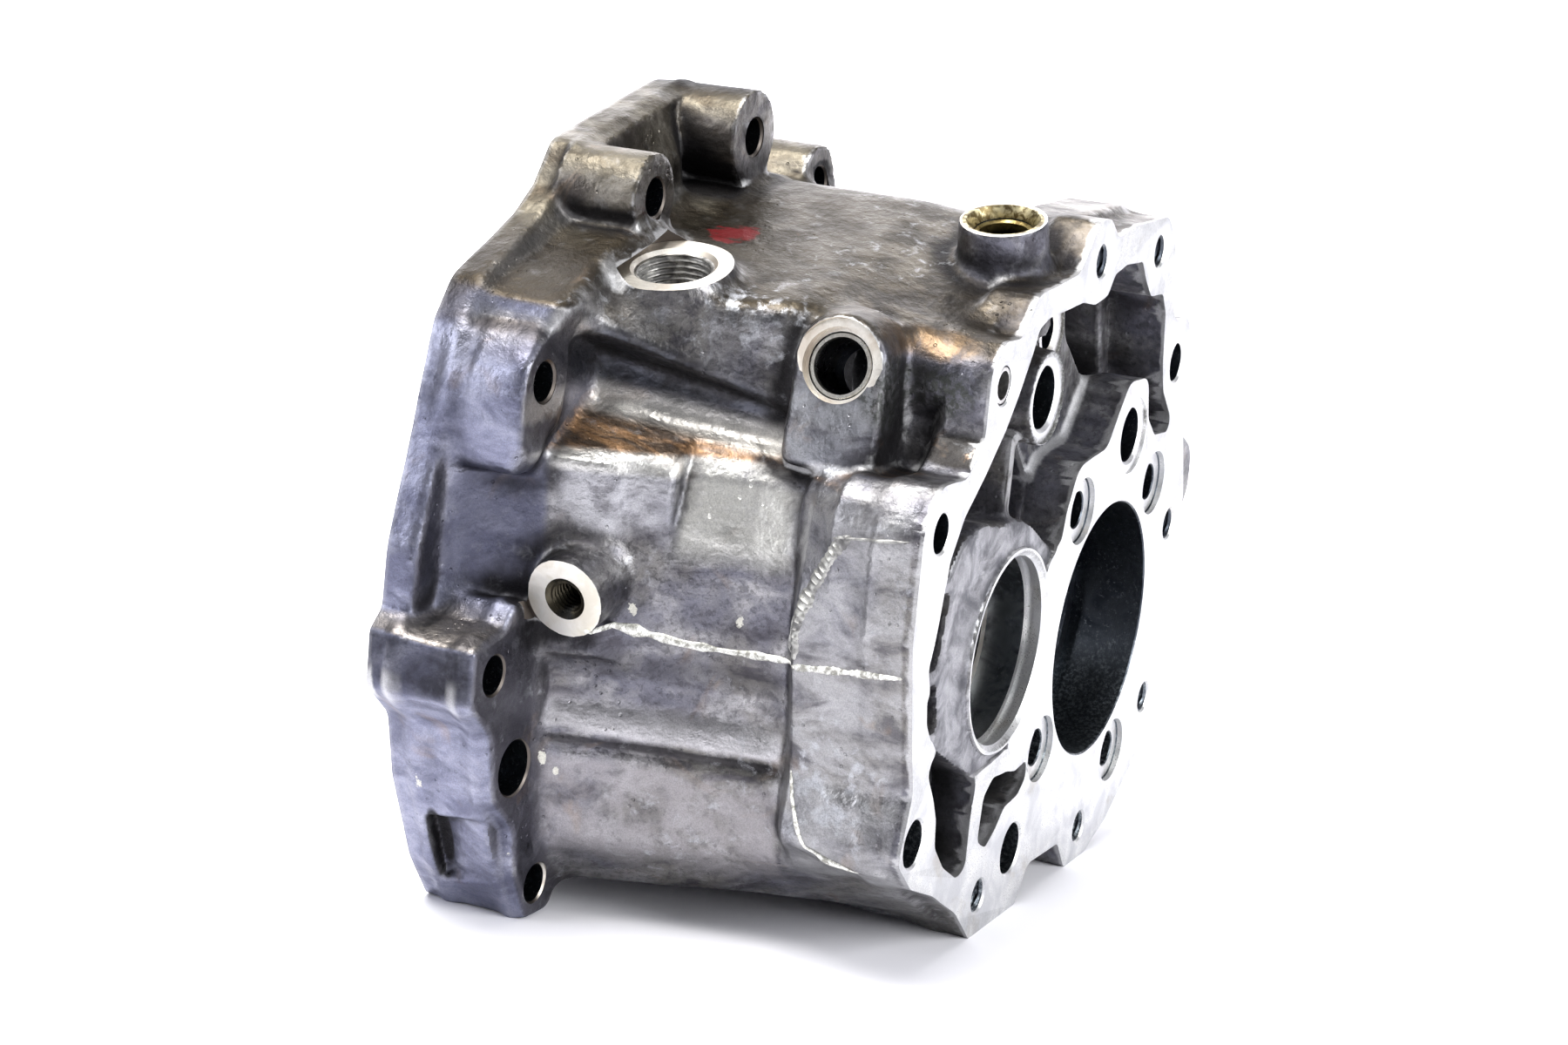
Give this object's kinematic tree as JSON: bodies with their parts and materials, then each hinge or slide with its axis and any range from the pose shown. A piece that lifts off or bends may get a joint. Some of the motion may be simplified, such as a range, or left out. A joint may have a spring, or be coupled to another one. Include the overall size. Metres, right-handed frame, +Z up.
{
  "type": "gearbox housing",
  "caption": "Bare cast housing open at its flanged bell end, with a machined end face holding two bearing bores, rail holes and a ring of bolt holes.",
  "frame": {"origin": "on the axis of the large bearing bore, in the plane of the machined end face", "axes": "+X out of the machined end face along the shafts, +Y away from the side that carries the slanted boss and the cross-shaft boss, +Z up with the feet of both flanges on the ground"},
  "size_m": [0.114, 0.2397, 0.189],
  "materials": {
    "cast_aluminium": "sand-cast skin with milled faces",
    "sleeve_steel": "ground",
    "bush_bronze": "bored",
    "bush_steel": "ground"
  },
  "bodies": {
    "root": {"housing": "cast_aluminium", "dowel_sleeve": "sleeve_steel", "bush_top": "bush_bronze", "bush_side": "bush_steel"}
  },
  "joints": []
}
